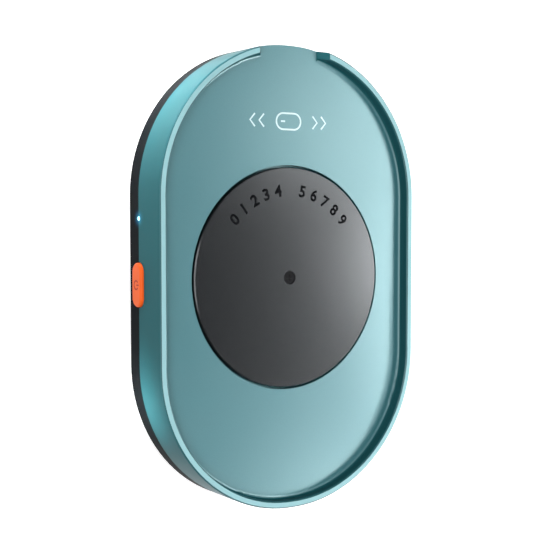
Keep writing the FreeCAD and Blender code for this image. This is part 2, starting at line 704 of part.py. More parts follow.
def make_screws(name, places, seat, sizes, head_down=False, recessed=False):
    """Pan-head screws in one node. sizes are head diameter, head height, shank diameter, length.

    Those that show have a cross recess.
    """
    head, head_height, shank, length = sizes
    body = new_body(name)
    heads = new_sketch(body, name + "Heads", seat)
    shanks = new_sketch(body, name + "Shanks", seat)
    for x, y in places:
        circle(heads, x, y, head)
        circle(shanks, x, y, shank)
    pad(body, heads, head_height, backwards=head_down)
    pad(body, shanks, length, backwards=not head_down)
    if not recessed:
        return body
    sign = "-" if head_down else "+"
    recess = new_sketch(body, name + "Recess", f"{seat} {sign} {head_height}")
    for x, y in places:
        cross(recess, x, y, f"{head} * 0.55", f"{head} * 0.14")
    pocket(body, recess, f"{head_height} * 0.6", backwards=head_down)
    return body


def cross(sketch, x, y, length, width):
    """Outline of a cross recess."""
    long, short = f"({length}) / 2", f"({width}) / 2"
    corners = []
    for sx, sy, order in ((1, 1, 1), (-1, 1, -1), (-1, -1, 1), (1, -1, -1)):
        pair = [(long, short), (short, short), (short, long)][::order]
        corners += [(f"({x}) + {sx} * {px}", f"({y}) + {sy} * {py}") for px, py in pair]
    polygon(sketch, corners)


# Turntable --------------------------------------------------------------------------------------

def make_disc():
    body = new_body("turntable_disc")
    section = new_sketch(body, "DiscSection", plane="XZ_Plane")
    polygon(section, [
        ("0", "disc_under"),
        ("disc_diameter / 2", "disc_under"),
        ("disc_diameter / 2", "disc_top - disc_bevel"),
        ("disc_diameter / 2 - disc_bevel", "disc_top"),
        ("disc_recess / 2", "disc_top"),
        ("disc_recess / 2", "recess_level"),
        ("0", "recess_level"),
    ])
    turn(body, section)
    drive = new_sketch(body, "DriveHole", "recess_level")
    tip_outline(drive)
    pocket(body, drive, "disc_thickness")
    return body


def tip_outline(sketch):
    """D-shaped section of the spindle's tip."""
    r, flat = value("spindle_tip") / 2, value("tip_flat")
    reach = math.sqrt(r * r - flat * flat)
    tilt = math.degrees(math.acos(flat / r))
    side = sketch.addGeometry(Part.LineSegment(Vector(flat, -reach, 0), Vector(flat, reach, 0)))
    round_side = sketch.addGeometry(arc(0, 0, r, tilt, 360 - tilt))
    sketch.addConstraint(Sketcher.Constraint("Coincident", side, 2, round_side, 1))
    sketch.addConstraint(Sketcher.Constraint("Coincident", side, 1, round_side, 2))
    sketch.addConstraint(Sketcher.Constraint("Vertical", side))
    dimension(sketch, "Radius", round_side, "spindle_tip / 2")
    place_point(sketch, round_side, 3, "0", "0")
    dimension(sketch, "DistanceX", -1, 1, side, 1, "tip_flat")


def make_spindle():
    body = new_body("spindle")
    section = new_sketch(body, "SpindleSection", plane="XZ_Plane")
    foot = "base_inside - pivot_depth + pivot_end"
    polygon(section, [
        ("0", foot),
        ("pivot_diameter / 2", foot),
        ("pivot_diameter / 2", "gear_under"),
        ("spindle_diameter / 2", "gear_under"),
        ("spindle_diameter / 2", "disc_under"),
        ("0", "disc_under"),
    ])
    turn(body, section)
    tip = new_sketch(body, "DriveTip", "disc_under")
    tip_outline(tip)
    pad(body, tip, "recess_level - disc_under - tip_end")
    tapped = new_sketch(body, "TappedHole", "recess_level")
    circle(tapped, "0", "0", "disc_screw_shank")
    pocket(body, tapped, "disc_screw_length + tap_depth")
    return body


def make_bush():
    body = new_body("spindle_bush")
    section = new_sketch(body, "BushSection", plane="XZ_Plane")
    bore = "spindle_diameter / 2 + running_fit"
    polygon(section, [
        (bore, "bush_under"),
        ("bush_diameter / 2", "bush_under"),
        ("bush_diameter / 2", "well_level - flange_thickness"),
        ("bush_flange / 2", "well_level - flange_thickness"),
        ("bush_flange / 2", "well_level"),
        (bore, "well_level"),
    ])
    turn(body, section)
    return body


def make_washer():
    body = new_body("thrust_washer")
    ring = new_sketch(body, "WasherRing", "well_level")
    circle(ring, "0", "0", "bush_flange")
    circle(ring, "0", "0", "spindle_diameter + 2 * washer_clearance")
    pad(body, ring, "well_gap - end_play")
    return body


# Gears ------------------------------------------------------------------------------------------

def involute(angle):
    return math.tan(angle) - angle


def tooth(sketch, teeth, shift, centre):
    """One involute tooth with its middle at the angle centre, in degrees.

    The flanks are arcs through three points of the involute. The foot is sunk into the root circle.
    """
    module = value("gear_module")
    pitch_radius = module * teeth / 2
    base_radius = pitch_radius * math.cos(PRESSURE_ANGLE)
    tip = pitch_radius + module * (1 + shift)
    root = pitch_radius - module * (1 - shift) - value("tip_clearance")
    half = math.pi / 2 / teeth + 2 * shift * math.tan(PRESSURE_ANGLE) / teeth
    half -= value("backlash") / 2 / pitch_radius

    def flank(radius, side):
        roll = math.acos(min(1.0, base_radius / max(radius, base_radius)))
        angle = math.radians(centre) + side * (half + involute(PRESSURE_ANGLE) - involute(roll))
        return Vector(radius * math.cos(angle), radius * math.sin(angle), 0)

    low = max(base_radius, root)
    middle = (low + tip) / 2
    foot = root - module * 0.3
    sketch.addGeometry([
        Part.LineSegment(flank(foot, -1), flank(low, -1)),
        Part.Arc(flank(low, -1), flank(middle, -1), flank(tip, -1)),
        Part.LineSegment(flank(tip, -1), flank(tip, 1)),
        Part.Arc(flank(tip, 1), flank(middle, 1), flank(low, 1)),
        Part.LineSegment(flank(low, 1), flank(foot, 1)),
        Part.LineSegment(flank(foot, 1), flank(foot, -1)),
    ])
    return root


def make_spindle_gear():
    body = new_body("spindle_gear", z="gear_under")
    blank = new_sketch(body, "GearBlank")
    root = "gear_module * (spindle_teeth / 2 - 1 - profile_shift) - tip_clearance"
    circle(blank, "0", "0", f"2 * ({root})")
    pad(body, blank, "spindle_gear_width")
    outline = new_sketch(body, "GearTooth")
    tooth(outline, int(value("spindle_teeth")), -value("profile_shift"), -90)
    ring_of(body, pad(body, outline, "spindle_gear_width"), "spindle_teeth")
    hub = new_sketch(body, "GearHub", "spindle_gear_width")
    circle(hub, "0", "0", "spindle_hub")
    pad(body, hub, "hub_height")
    web = new_sketch(body, "GearWeb", "spindle_gear_width")
    circle(web, "0", "0", f"2 * ({root} - gear_rim)")
    circle(web, "0", "0", "spindle_hub")
    pocket(body, web, "web_depth")
    bore = new_sketch(body, "GearBore", "spindle_gear_width + hub_height")
    circle(bore, "0", "0", "spindle_diameter")
    pocket(body, bore, "spindle_gear_width + hub_height")
    return body


def make_compound_gear():
    """Worm wheel above and pinion below, in one moulding, about its own axis at the wheel's middle."""
    body = new_body("compound_gear", y="compound_y", z="motor_level")
    teeth = int(value("wheel_teeth"))
    blank = new_sketch(body, "WheelBlank", "-wheel_width / 2")
    circle(blank, "0", "0", "2 * (gear_module * (wheel_teeth / 2 - 1) - tip_clearance)")
    pad(body, blank, "wheel_width")
    lead_angle = math.atan(value("gear_module / worm_diameter"))
    slant = value("wheel_width / 2") * math.tan(lead_angle)
    twist = math.degrees(slant / value("gear_module * wheel_teeth / 2"))
    low = new_sketch(body, "WheelToothLow", "-wheel_width / 2")
    tooth(low, teeth, 0, -90 - twist)
    high = new_sketch(body, "WheelToothHigh", "wheel_width / 2")
    tooth(high, teeth, 0, -90 + twist)
    loft = body.newObject("PartDesign::AdditiveLoft", "WheelTooth")
    loft.Profile = low
    loft.Sections = [high]
    loft.Ruled = True
    doc.recompute()
    ring_of(body, loft, "wheel_teeth")

    reach = "wheel_under - pinion_under"
    pinion = new_sketch(body, "PinionBlank", "-wheel_width / 2")
    circle(pinion, "0", "0", "2 * (gear_module * (pinion_teeth / 2 - 1 + profile_shift) - tip_clearance)")
    pad(body, pinion, reach, backwards=True)
    outline = new_sketch(body, "PinionTooth", "-wheel_width / 2")
    count = int(value("pinion_teeth"))
    tooth(outline, count, value("profile_shift"), 90 + 180 / count)
    ring_of(body, pad(body, outline, reach, backwards=True), "pinion_teeth")
    bore = new_sketch(body, "CompoundBore", "wheel_width / 2")
    circle(bore, "0", "0", "gear_pin + 2 * running_fit")
    pocket(body, bore, f"wheel_width + {reach}")
    return body


def make_gear_pin():
    pin = doc.addObject("Part::Cylinder", "gear_pin_rod")
    pin.Label = "gear_pin"
    pin.setExpression("Radius", bind("gear_pin / 2"))
    pin.setExpression("Height", bind("bridge_top - base_inside + pin_depth"))
    pin.setExpression("Placement.Base.y", bind("compound_y"))
    pin.setExpression("Placement.Base.z", bind("base_inside - pin_depth"))
    return pin


def make_bridge():
    body = new_body("gear_bridge")
    plate = new_sketch(body, "BridgePlate", "bridge_under")
    slot(plate, "0", "compound_y", "bridge_span + post_diameter", "post_diameter")
    circle(plate, "0", "compound_y", "gear_pin")
    for x, y in BRIDGE_POSTS:
        circle(plate, x, y, "small_screw + head_clearance")
    pad(body, plate, "bridge_thickness")
    return body


def make_worm():
    """Single-start right-hand worm, drawn along Z and laid along X in mesh with the wheel."""
    body = new_body("worm")
    core = new_sketch(body, "WormCore", "-worm_length / 2")
    root = "worm_diameter / 2 - gear_module - tip_clearance"
    circle(core, "0", "0", f"2 * ({root})")
    pad(body, core, "worm_length")
    section = new_sketch(body, "ThreadSection", plane="XZ_Plane")
    start = "-worm_turns * pi * gear_module / 2"
    half = "(pi * gear_module / 4 - backlash / 2)"
    slope = str(math.tan(PRESSURE_ANGLE))
    foot = f"{root} - thread_sink"
    foot_half = f"({half} + (gear_module + tip_clearance + thread_sink) * {slope})"
    tip, tip_half = "worm_diameter / 2 + gear_module", f"({half} - gear_module * {slope})"
    polygon(section, [
        (foot, f"{start} - {foot_half}"),
        (tip, f"{start} - {tip_half}"),
        (tip, f"{start} + {tip_half}"),
        (foot, f"{start} + {foot_half}"),
    ])
    thread = body.newObject("PartDesign::AdditiveHelix", "WormThread")
    thread.Profile = section
    thread.ReferenceAxis = (section, ["V_Axis"])
    thread.Mode = 0
    thread.setExpression("Pitch", bind("pi * gear_module"))
    thread.setExpression("Height", bind("worm_turns * pi * gear_module"))
    thread.LeftHanded = False
    doc.recompute()
    bore = new_sketch(body, "WormBore", "worm_length / 2")
    circle(bore, "0", "0", "shaft_diameter")
    pocket(body, bore, "worm_length")
    phase = -90 - 180 * value("worm_turns")
    lay = FreeCAD.Rotation(Vector(1, 0, 0), phase) * FreeCAD.Rotation(Vector(0, 1, 0), 90)
    body.Placement = FreeCAD.Placement(Vector(0, value("worm_y"), value("motor_level")), lay)
    return body


# Motor ------------------------------------------------------------------------------------------

def make_motor_can():
    body = new_body("motor_can")
    can = new_sketch(body, "CanSection", "-motor_front", "YZ_Plane")
    flat_round(can, "worm_y", "motor_level", "motor_width", "motor_height")
    pad(body, can, "motor_length", backwards=True)
    boss = new_sketch(body, "CanBoss", "-motor_front", "YZ_Plane")
    circle(boss, "worm_y", "motor_level", "motor_boss")
    pad(body, boss, "boss_length")
    bore = new_sketch(body, "CanBore", "-motor_front + boss_length", "YZ_Plane")
    circle(bore, "worm_y", "motor_level", "shaft_diameter + 2 * running_fit")
    pocket(body, bore, "boss_length + shaft_inside + shaft_end")
    return body


def make_motor_cap():
    body = new_body("motor_end_cap")
    cap = new_sketch(body, "CapSection", "can_back", "YZ_Plane")
    flat_round(cap, "worm_y", "motor_level", "motor_width - 2 * cap_step", "motor_height - 2 * cap_step")
    pad(body, cap, "cap_length", backwards=True)
    hub = new_sketch(body, "CapHub", "cap_back", "YZ_Plane")
    circle(hub, "worm_y", "motor_level", "cap_hub")
    pad(body, hub, "cap_hub_length", backwards=True)
    return body


def make_terminals():
    body = new_body("motor_terminals")
    tabs = new_sketch(body, "TerminalTabs", "cap_back", "YZ_Plane")
    for side in ("+", "-"):
        y = f"worm_y {side} terminal_spread / 2"
        box(tabs, y, "board_top + wire_diameter / 2", "terminal_width", "terminal_sheet")
    pad(body, tabs, "terminal_length", backwards=True)
    return body


def make_shaft():
    body = new_body("motor_shaft")
    rod = new_sketch(body, "ShaftSection", "worm_length / 2", "YZ_Plane")
    circle(rod, "worm_y", "motor_level", "shaft_diameter")
    pad(body, rod, "worm_length / 2 + motor_front + shaft_inside", backwards=True)
    return body


def make_clamp():
    """Sheet-metal strap over the motor, with a foot on each side."""
    body = new_body("motor_clamp")
    west = "strap_x - strap_width / 2"
    outer = new_sketch(body, "StrapOuter", west, "YZ_Plane")
    wide, tall = "motor_width + 2 * strap_thickness", "motor_height + 2 * strap_thickness"
    flat_round(outer, "worm_y", "motor_level", wide, tall)
    pad(body, outer, "strap_width")
    inner = new_sketch(body, "StrapInner", west, "YZ_Plane")
    flat_round(inner, "worm_y", "motor_level", "motor_width", "motor_height")
    pocket(body, inner, "strap_width", backwards=True)
    below = new_sketch(body, "StrapBelow", west, "YZ_Plane")
    box(below, "worm_y", "motor_level - motor_height / 2", "motor_width + 4 * strap_thickness", "motor_height")
    pocket(body, below, "strap_width", backwards=True)
    feet = new_sketch(body, "StrapFeet", "motor_level")
    inside, outside = "motor_width / 2", "strap_reach + strap_width / 2"
    for side in ("+", "-"):
        near, far = f"worm_y {side} ({inside})", f"worm_y {side} ({outside})"
        box(feet, "strap_x", f"(({near}) + ({far})) / 2", "strap_width", f"{outside} - {inside}")
    pad(body, feet, "strap_thickness")
    holes = new_sketch(body, "StrapHoles", "motor_level + strap_thickness")
    for x, y in STRAP_POSTS:
        circle(holes, x, y, "small_screw + head_clearance")
    pocket(body, holes, "strap_thickness")
    return body


def make_leads():
    """Two wires from the motor's terminals, in one bend each, onto the end of the board."""
    radius = value("wire_diameter / 2")
    bend = value("wire_bend")
    level = value("board_top") + radius
    start_x = value("cap_back - terminal_length")
    end_y = value("lead_landing - board_south")
    wires = []
    for side, stretch in ((1, "near_lead"), (-1, "far_lead")):
        y = value("worm_y") + side * value("terminal_spread / 2")
        x = start_x - value(stretch) - bend
        along = Part.makeCylinder(radius, value(stretch), Vector(start_x, y, level), Vector(-1, 0, 0))
        turned = Part.makeTorus(bend, radius, Vector(x + bend, y + bend, level), UP, -180, 180, 90)
        turned.rotate(Vector(x + bend, y + bend, level), UP, 180)
        across = Part.makeCylinder(radius, end_y - y - bend, Vector(x, y + bend, level), Vector(0, 1, 0))
        wires.append(along.fuse([turned, across]))
    leads = doc.addObject("Part::Feature", "motor_leads")
    leads.Label = "motor_leads"
    leads.Shape = Part.makeCompound(wires)
    return leads


# Board ------------------------------------------------------------------------------------------

def make_board():
    """L-shaped board that follows the corner of the casing."""
    body = new_body("circuit_board")
    whole = new_sketch(body, "BoardOutline", "board_under")
    case_outline(whole, "board_inset")
    pad(body, whole, "board_thickness")
    cut = new_sketch(body, "BoardCut", "board_top")
    far = "case_length"
    polygon(cut, [
        ("board_inner", "board_elbow"),
        ("board_east", "board_elbow"),
        ("board_east", far),
        ("case_width", far),
        ("case_width", f"-{far}"),
        ("-case_width", f"-{far}"),
        ("-case_width", "-board_south"),
        ("board_inner", "-board_south"),
    ])
    pocket(body, cut, "board_thickness")
    holes = new_sketch(body, "BoardHoles", "board_top")
    for x, y in BOARD_SCREWS:
        circle(holes, x, y, "small_screw + head_clearance")
    circle(holes, "-screw_x", "screw_y", "pillar + 2 * pillar_clearance")
    pocket(body, holes, "board_thickness")
    return body


def make_chip():
    body = new_body("controller_chip")
    package = new_sketch(body, "ChipPackage", "board_top + chip_lift")
    box(package, "board_middle", "chip_place", "chip_width", "chip_length")
    pad(body, package, "chip_height")
    return body


def make_chip_legs():
    """Four legs on each side, from the package down to the board."""
    body = new_body("chip_legs")
    legs = new_sketch(body, "ChipLegs", "board_top")
    for side in ("+", "-"):
        x = f"board_middle {side} (chip_width + leg_length) / 2"
        for row in (-1.5, -0.5, 0.5, 1.5):
            box(legs, x, f"chip_place + {row} * leg_pitch", "leg_length", "leg_width")
    pad(body, legs, "leg_height")
    return body


def make_capacitors():
    """A row beside the chip, and a pair before the inlet."""
    body = new_body("board_capacitors")
    blocks = new_sketch(body, "CapacitorBlocks", "board_top")
    rows = [("board_middle", f"chip_place + chip_length + {n} * capacitor_pitch") for n in range(3)]
    rows += [("-usb_width", f"usb_mouth - usb_length - {n + 1} * capacitor_pitch") for n in range(2)]
    for x, y in rows:
        box(blocks, x, y, "capacitor_length", "capacitor_width")
    pad(body, blocks, "capacitor_height")
    return body


def make_led():
    body = new_body("led")
    package = new_sketch(body, "LedPackage", "board_top")
    box(package, "board_west + led_inset + led_depth / 2", "light_place", "led_depth", "light_block")
    pad(body, package, "led_height")
    return body


def make_light_pipe():
    body = new_body("light_pipe")
    rod = new_sketch(body, "LightRod", "-case_width / 2", "YZ_Plane")
    circle(rod, "light_place", "parting", "light_diameter")
    pad(body, rod, "wall + light_depth / 2")
    foot = new_sketch(body, "LightBlock", "board_top")
    box(foot, "-(wall_inside - light_depth / 2)", "light_place", "light_depth", "light_block")
    pad(body, foot, "parting - board_top + light_diameter")
    return body


def make_switch():
    body = new_body("switch_body")
    block = new_sketch(body, "SwitchBlock", "board_top")
    box(block, "switch_face + switch_depth / 2", "button_place", "switch_depth", "switch_length")
    pad(body, block, "switch_height")
    bore = new_sketch(body, "SwitchBore", "switch_face", "YZ_Plane")
    box(
        bore, "button_place", "parting",
        "plunger_width + 2 * plunger_fit", "plunger_height + 2 * plunger_fit",
    )
    pocket(body, bore, "plunger_inside + press_travel + plunger_end", backwards=True)
    return body


def make_plunger():
    body = new_body("switch_plunger")
    bar = new_sketch(body, "PlungerBar", "plunger_face", "YZ_Plane")
    box(bar, "button_place", "parting", "plunger_width", "plunger_height")
    pad(body, bar, "plunger_proud + plunger_inside")
    return body


def make_button():
    """Pill that straddles the parting line, kept in by a flange inside the wall."""
    body = new_body("power_button")
    pill = new_sketch(body, "ButtonPill", "button_face", "YZ_Plane")
    slot(pill, "button_place", "parting", "button_length", "button_height")
    pad(body, pill, "flange_face - button_face")
    face = value("button_face")
    base = body.Tip
    names = [
        f"Edge{number}" for number, edge in enumerate(base.Shape.Edges, 1)
        if abs(edge.BoundBox.XMax - face) < 1e-3
    ]
    crown = body.newObject("PartDesign::Fillet", "ButtonCrown")
    crown.Base = (base, names)
    crown.setExpression("Radius", bind("button_round"))
    doc.recompute()
    flange = new_sketch(body, "ButtonFlange", "flange_face", "YZ_Plane")
    slot(
        flange, "button_place", "parting",
        "button_length + 2 * button_flange", "button_height + 2 * button_flange",
    )
    pad(body, flange, "flange_length")
    stem = new_sketch(body, "ButtonStem", "flange_face", "YZ_Plane")
    circle(stem, "button_place", "parting", "button_stem")
    pad(body, stem, "plunger_face - stem_gap - flange_face")
    return body


def make_inlet_shell():
    body = new_body("usb_c_shell")
    mouth = new_sketch(body, "InletShell", "-usb_mouth", "XZ_Plane")
    round_box(mouth, "0", "usb_level", "usb_width", "usb_height", "(usb_height - usb_flat) / 2")
    pad(body, mouth, "usb_length")
    inner = new_sketch(body, "InletInside", "-usb_mouth", "XZ_Plane")
    thin = "2 * usb_sheet"
    round_box(
        inner, "0", "usb_level",
        f"usb_width - {thin}", f"usb_height - {thin}", "(usb_height - usb_flat) / 2 - usb_sheet",
    )
    pocket(body, inner, "usb_length - usb_back", backwards=True)
    return body


def make_tongue():
    body = new_body("usb_c_tongue")
    blade = new_sketch(body, "TongueBlade", "-usb_mouth + usb_length - usb_back", "XZ_Plane")
    box(blade, "0", "usb_level", "tongue_width", "tongue_height")
    pad(body, blade, "tongue_length", backwards=True)
    return body


def make_all():
    small = ("small_head", "small_head_height", "small_screw", "small_screw_length")
    return [
        make_base_cover(),
        make_top_shell(),
        make_feet(),
        make_screws(
            "case_screws", CASE_SCREWS, "case_under + head_seat",
            ("case_head", "case_head_height", "case_screw", "case_screw_length"),
            head_down=True, recessed=True,
        ),
        make_disc(),
        make_screws(
            "disc_screw", [("0", "0")], "recess_level",
            ("disc_screw_head", "disc_head_height", "disc_screw_shank", "disc_screw_length"),
            recessed=True,
        ),
        make_spindle(),
        make_bush(),
        make_washer(),
        make_spindle_gear(),
        make_compound_gear(),
        make_gear_pin(),
        make_bridge(),
        make_screws("bridge_screws", BRIDGE_POSTS, "bridge_top", small),
        make_worm(),
        make_shaft(),
        make_motor_can(),
        make_motor_cap(),
        make_terminals(),
        make_clamp(),
        make_screws("clamp_screws", STRAP_POSTS, "motor_level + strap_thickness", small),
        make_leads(),
        make_board(),
        make_screws("board_screws", BOARD_SCREWS, "board_top", small[:3] + ("board_screw_length",)),
        make_chip(),
        make_chip_legs(),
        make_capacitors(),
        make_led(),
        make_light_pipe(),
        make_switch(),
        make_plunger(),
        make_button(),
        make_inlet_shell(),
        make_tongue(),
    ]


def check_and_export(nodes):
    doc.recompute()
    for item in doc.Objects:
        if "Invalid" in item.State or "Error" in item.State:
            raise ValueError(f"{item.Name} failed: {item.State}")
    for node in nodes:
        if node.Shape.isNull() or not node.Shape.isValid() or not node.Shape.Solids:
            raise ValueError(f"{node.Label} has no valid solid")
    os.makedirs("parts", exist_ok=True)
    for node in nodes:
        node.Shape.exportStep(f"parts/{node.Label}.step")
        print(f"{node.Label}: {len(node.Shape.Solids)} solids, {node.Shape.Volume:.1f} mm3")


check_and_export(make_all())
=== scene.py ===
"""Looks of the mouse jiggler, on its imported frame. Metres; +Z is up and +Y points to the cord gap."""
import json
import math

import bmesh
import bpy
from mathutils import Matrix, Vector


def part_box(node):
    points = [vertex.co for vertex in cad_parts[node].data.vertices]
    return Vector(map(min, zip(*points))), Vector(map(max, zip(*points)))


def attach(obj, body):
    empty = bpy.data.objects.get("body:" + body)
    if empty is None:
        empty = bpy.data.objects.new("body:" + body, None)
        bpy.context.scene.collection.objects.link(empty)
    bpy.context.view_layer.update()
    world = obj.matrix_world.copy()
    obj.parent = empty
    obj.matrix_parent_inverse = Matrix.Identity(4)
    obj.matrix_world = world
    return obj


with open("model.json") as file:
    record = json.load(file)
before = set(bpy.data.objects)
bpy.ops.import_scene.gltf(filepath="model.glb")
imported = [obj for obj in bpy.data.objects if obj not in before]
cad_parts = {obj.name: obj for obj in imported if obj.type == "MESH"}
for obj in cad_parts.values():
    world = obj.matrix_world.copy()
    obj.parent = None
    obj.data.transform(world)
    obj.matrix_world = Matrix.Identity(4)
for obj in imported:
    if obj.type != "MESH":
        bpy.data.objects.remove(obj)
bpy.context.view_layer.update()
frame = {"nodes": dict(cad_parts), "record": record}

MM = 0.001

# Places read from the frame.
shell_low, shell_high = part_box("top_shell")
button_low, button_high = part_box("power_button")
light_low, light_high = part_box("light_pipe")
rim_top = shell_high.z
parting = shell_low.z
disc_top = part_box("turntable_disc")[1].z
DISC_PROUD = 0.5 * MM  # above the tray's floor
tray_level = disc_top - DISC_PROUD

# The photograph's camera, found from the edges that it shows.
EYE = Vector((-0.18477, 0.01857, 0.27970))
EYE_TURN = (-3.153, -34.235, -0.023)  # degrees about X, Y and Z
FIELD_OF_VIEW = 27.07  # degrees, across the square picture

# Printing on the tray and on the disc.
INK = 0.02 * MM  # thickness
DIGITS = "01234 56789"
DIGIT_HEIGHT = 3.3 * MM
DIGIT_BOLDNESS = 0.13 * MM  # added round each digit
ARC_RADIUS = 24.5 * MM
ARC_START, ARC_END = 138, 41  # degrees from +X
CAP_SHARE = 0.73  # height of a digit over the size of Blender's own font
SIGN_PLACE = (-0.1 * MM, 43.9 * MM)
SIGN_HEIGHT = 4.5 * MM
SIGN_STROKE = 0.5 * MM
SIGN_REACH = 1.9 * MM  # from the middle of the outline to the centres of its round ends
ROUND_STEPS = 12  # in the arc of a round end
WHEEL_START, WHEEL_END = -2.6 * MM, -1.2 * MM  # from the middle of the outline
CHEVRON_FEET = (8.3 * MM, 11.3 * MM)  # from the middle of the outline
CHEVRON_DEPTH = 1.6 * MM
CHEVRON_SHARE = 0.8  # of the sign's height

# The standby sign on the button, from the middle of the sign.
RING_RADIUS = 1.15 * MM
RING_HALF = 0.21 * MM  # half the width of the ring's line
RING_GAP = 1.3  # slope of the gap's sides, up over along
STROKE_HALF = 0.2 * MM
STROKE_MIDDLE, STROKE_REACH = 0.85 * MM, 0.65 * MM  # the stroke's middle, and half its length


# Shader helpers ---------------------------------------------------------------------------------

NOISE_MIDDLE = (0.3, 0.7)  # most of a noise's numbers are between these


class Shader:
    """A principled material with short calls for the nodes that feed it."""

    def __init__(self, name, colour, roughness, metallic=0.0, **sockets):
        self.material = bpy.data.materials.new(name)
        self.material.use_nodes = True
        self.nodes = self.material.node_tree.nodes
        self.links = self.material.node_tree.links
        self.surface = self.nodes["Principled BSDF"]
        self.set("Base Color", (*colour, 1))
        self.set("Roughness", roughness)
        self.set("Metallic", metallic)
        for socket, number in sockets.items():
            self.set(socket.replace("_", " "), number)

    def set(self, socket, number):
        self.surface.inputs[socket].default_value = number

    def feed(self, socket, output):
        self.links.new(output, self.surface.inputs[socket])

    def add(self, kind, **settings):
        node = self.nodes.new("ShaderNode" + kind)
        for name, setting in settings.items():
            setattr(node, name, setting)
        return node

    def place(self):
        """Object coordinates, which are the frame's own on every piece."""
        return self.add("TexCoord").outputs["Object"]

    def math(self, operation, first, second=None, third=None):
        node = self.add("Math", operation=operation)
        for socket, entry in zip(node.inputs, (first, second, third)):
            if entry is None:
                continue
            if isinstance(entry, bpy.types.NodeSocket):
                self.links.new(entry, socket)
            else:
                socket.default_value = entry
        return node.outputs[0]

    def axes(self):
        """Object coordinates along X, Y and Z."""
        split = self.add("SeparateXYZ")
        self.links.new(self.place(), split.inputs[0])
        return split.outputs

    def upward(self):
        """How far the surface faces up: 1 on flats, 0 on upright walls."""
        split = self.add("SeparateXYZ")
        self.links.new(self.add("TexCoord").outputs["Normal"], split.inputs[0])
        return split.outputs[2]

    def square_sum(self, first, second):
        """Sum of the two numbers' squares."""
        return self.math("ADD", self.math("MULTIPLY", first, first), self.math("MULTIPLY", second, second))

    def near(self, source, middle, reach):
        """1 where the source is less than reach away from the middle, 0 elsewhere."""
        return self.math("LESS_THAN", self.math("ABSOLUTE", self.math("SUBTRACT", source, middle)), reach)

    def noise(self, size, detail=3.0, stretch=None):
        """Noise whose grains are about size across."""
        node = self.add("TexNoise")
        node.inputs["Scale"].default_value = 1 / size
        node.inputs["Detail"].default_value = detail
        node.inputs["Roughness"].default_value = 0.55
        source = self.place()
        if stretch:
            mapping = self.add("Mapping")
            mapping.inputs["Scale"].default_value = stretch
            self.links.new(source, mapping.inputs["Vector"])
            source = mapping.outputs[0]
        self.links.new(source, node.inputs["Vector"])
        return node.outputs["Fac"]

    def spread(self, source, low, high, new_low, new_high):
        """Maps low..high of the source to new_low..new_high, with soft ends, and holds it there beyond."""
        node = self.add("MapRange", interpolation_type="SMOOTHSTEP")
        for socket, entry in zip(node.inputs[:5], (source, low, high, new_low, new_high)):
            if isinstance(entry, bpy.types.NodeSocket):
                self.links.new(entry, socket)
            else:
                socket.default_value = entry
        return node.outputs[0]

    def mix(self, share, first, second):
        node = self.add("Mix", data_type="RGBA")
        self.links.new(share, node.inputs[0])
        for socket, entry in ((node.inputs[6], first), (node.inputs[7], second)):
            if isinstance(entry, bpy.types.NodeSocket):
                self.links.new(entry, socket)
            else:
                socket.default_value = (*entry, 1)
        return node.outputs[2]

    def patches(self, size, detail, new_low, new_high):
        """Soft patches about size across, between two numbers."""
        return self.spread(self.noise(size, detail), *NOISE_MIDDLE, new_low, new_high)

    def bump(self, height, strength, distance):
        node = self.add("Bump")
        node.inputs["Strength"].default_value = strength
        node.inputs["Distance"].default_value = distance
        self.links.new(height, node.inputs["Height"])
        self.feed("Normal", node.outputs[0])


def moulded(
    name, colour, roughness, grain=0.25 * MM, depth=0.006 * MM, shade=0.06, unevenness=0.07, **sockets
):
    """Moulded plastic: a fine spark-eroded grain, with slightly uneven gloss and colour."""
    shader = Shader(name, colour, roughness, **sockets)
    shader.bump(shader.noise(grain, 2.0), 0.35, depth)
    share = shader.patches(9 * MM, 4.0, 0, 1)
    smooth, rough = roughness * (1 - unevenness), roughness * (1 + unevenness)
    shader.feed("Roughness", shader.math("MULTIPLY_ADD", share, rough - smooth, smooth))
    dark = tuple(c * (1 - shade) for c in colour)
    light = tuple(min(1, c * (1 + shade)) for c in colour)
    shader.feed("Base Color", shader.mix(share, dark, light))
    return shader


def metal(name, colour, roughness):
    """Bare metal with fine drawn lines."""
    shader = Shader(name, colour, roughness, metallic=1.0)
    lines = shader.noise(0.3 * MM, stretch=(1, 1, 14))
    shader.feed("Roughness", shader.spread(lines, *NOISE_MIDDLE, roughness * 0.8, roughness * 1.25))
    shader.bump(lines, 0.2, 0.004 * MM)
    return shader


# Materials --------------------------------------------------------------------------------------

TEAL = (0.0715, 0.238, 0.272)  # level faces
TEAL_WALL_PAINTED_SHADE = (0.0155, 0.092, 0.105)  # upright walls, darkened as painted shade
TEAL_RIM_PAINTED_HIGHLIGHT = (0.35, 0.61, 0.65)  # painted highlight on top of the rim
ORANGE = (0.68, 0.10, 0.012)
ORANGE_SIGN = (0.30, 0.012, 0.002)
GLOW = (0.05, 0.50, 0.95)
WALL_DEPTH = 0.3 * MM  # what lies this near the outermost X counts as the outer wall
LEVEL_FACING = (0.6, 0.99)  # upward part of the direction, from the walls' darker painted-shade colour and low gloss to a level face's colour and gloss
RIM_HIGHLIGHT_FACING = (0.8, 0.97)  # the same for the painted highlight on top of the rim
RIM_HIGHLIGHT_DROP = (0.45 * MM, 0.30 * MM)  # below the top of the rim, where the painted highlight starts and is full


def glow_near_light(shader, strength, reach):
    """Light that spills from the light pipe onto the wall round it."""
    x, y, z = shader.axes()
    across = shader.math("SUBTRACT", y, (light_low.y + light_high.y) / 2)
    above = shader.math("SUBTRACT", z, parting)
    fall = shader.math("MULTIPLY", shader.square_sum(across, above), -1 / reach**2)
    outside = shader.math("LESS_THAN", x, shell_low.x + WALL_DEPTH)
    spill = shader.math("MULTIPLY", shader.math("EXPONENT", fall), outside)
    shader.set("Emission Color", (*GLOW, 1))
    shader.feed("Emission Strength", shader.math("MULTIPLY", spill, strength))


